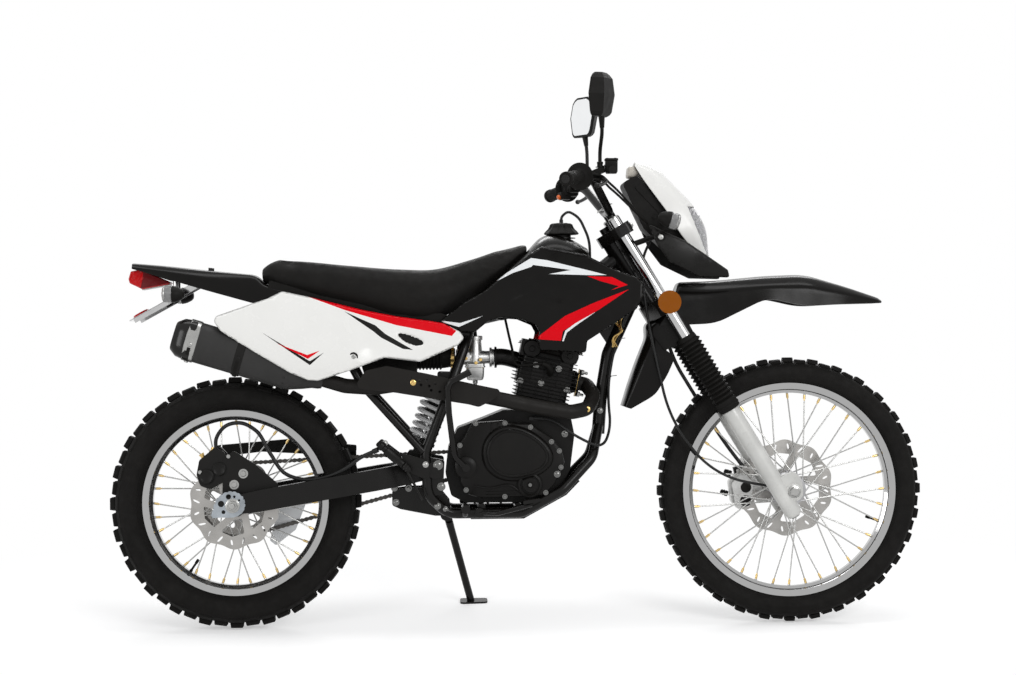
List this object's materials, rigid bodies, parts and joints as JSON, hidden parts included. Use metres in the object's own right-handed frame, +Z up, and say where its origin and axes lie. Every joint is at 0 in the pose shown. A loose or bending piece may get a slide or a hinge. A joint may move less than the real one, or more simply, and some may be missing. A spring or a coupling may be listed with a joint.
{
  "type": "dual sport motorcycle",
  "caption": "Dual sport motorcycle with laced wheels, knobbly tyres, high fender and tubular frame, parked leaning on its side stand; wheels, steering and stand move.",
  "frame": {"origin": "middle of the whole machine's box, on the ground it stands on", "axes": "+X forward, from the rear wheel to the front wheel; +Y to the rider's left, the side that it leans to; +Z up"},
  "size_m": [2.1236, 0.811, 1.4533],
  "materials": {
    "frame_paint": "gloss",
    "engine_black": "satin",
    "cast_alloy": "cast",
    "black_plastic": "grained",
    "exhaust_black": "matte",
    "silencer_black": "matte",
    "gloss_black": "gloss",
    "seat_cover": "grained",
    "white_plastic": "gloss",
    "red_lens": "gloss",
    "clear_lens": "clear",
    "bright_steel": "bright",
    "shock_paint": "gloss",
    "chain_steel": "oiled",
    "caliper_black": "satin",
    "chrome_tube": "polished",
    "black_rubber": "matte",
    "fork_silver": "satin",
    "wheel_metal": "polished",
    "tyre_rubber": "matte",
    "disc_steel": "ground",
    "cable_black": "satin",
    "amber_lens": "gloss",
    "guide_alloy": "sheet"
  },
  "bodies": {
    "chassis": {"frame": "frame_paint", "subframe": "frame_paint", "control_cables": "cable_black", "engine_block": "engine_black", "engine_cylinder": "engine_black", "carburettor": "cast_alloy", "airbox": "black_plastic", "exhaust_pipe": "exhaust_black", "silencer": "silencer_black", "heat_shield": "exhaust_black", "fuel_tank": "gloss_black", "tank_cap": "black_plastic", "tank_shrouds": "gloss_black", "seat": "seat_cover", "side_panels": "white_plastic", "rear_fender": "gloss_black", "tail_lamp": "red_lens", "plate_bracket": "bright_steel", "rear_indicators": "black_plastic", "swingarm": "frame_paint", "rear_shock": "shock_paint", "rear_axle": "bright_steel", "chain": "chain_steel", "chain_guard": "black_plastic", "chain_guide": "guide_alloy", "rear_brake": "caliper_black", "rear_brake_line": "cable_black", "footpegs": "frame_paint", "foot_levers": "frame_paint", "skid_plate": "black_plastic"},
    "steering": {"fork_yokes": "frame_paint", "fork_stanchions": "chrome_tube", "fork_gaiters": "black_rubber", "fork_lowers": "fork_silver", "front_brake": "caliper_black", "front_fender": "gloss_black", "headlamp_mask": "white_plastic", "headlamp_lens": "clear_lens", "instrument_panel": "black_plastic", "headlamp_shell": "gloss_black", "front_indicators": "black_plastic", "handlebar": "frame_paint", "grips": "black_rubber", "hand_controls": "black_plastic", "mirrors": "black_plastic", "steering_cables": "cable_black", "reflectors": "amber_lens"},
    "front_wheel": {"wheel_front": "wheel_metal", "tyre_front": "tyre_rubber", "disc_front": "disc_steel"},
    "rear_wheel": {"wheel_rear": "wheel_metal", "tyre_rear": "tyre_rubber", "disc_rear": "disc_steel", "sprocket_rear": "disc_steel"},
    "side_stand": {"side_stand": "frame_paint"}
  },
  "joints": [
    {"name": "steering", "type": "hinge", "parent": "chassis", "child": "steering", "pos_m": [0.30458, -0.04353, 0.91094], "axis": [-0.515, 0.1341, 0.8466], "range_deg": [-40, 40]},
    {"name": "front_wheel_spin", "type": "hinge", "parent": "steering", "child": "front_wheel", "pos_m": [0.71525, -0.13313, 0.34518], "axis": [0, 0.9877, -0.1564], "continuous": true},
    {"name": "rear_wheel_spin", "type": "hinge", "parent": "chassis", "child": "rear_wheel", "pos_m": [-0.73475, -0.13603, 0.32686], "axis": [0, 0.9877, -0.1564], "continuous": true},
    {"name": "side_stand_fold", "type": "hinge", "parent": "chassis", "child": "side_stand", "pos_m": [-0.18311, -0.01487, 0.26087], "axis": [0.0914, 0.9636, 0.2513], "range_deg": [0, 95]}
  ]
}
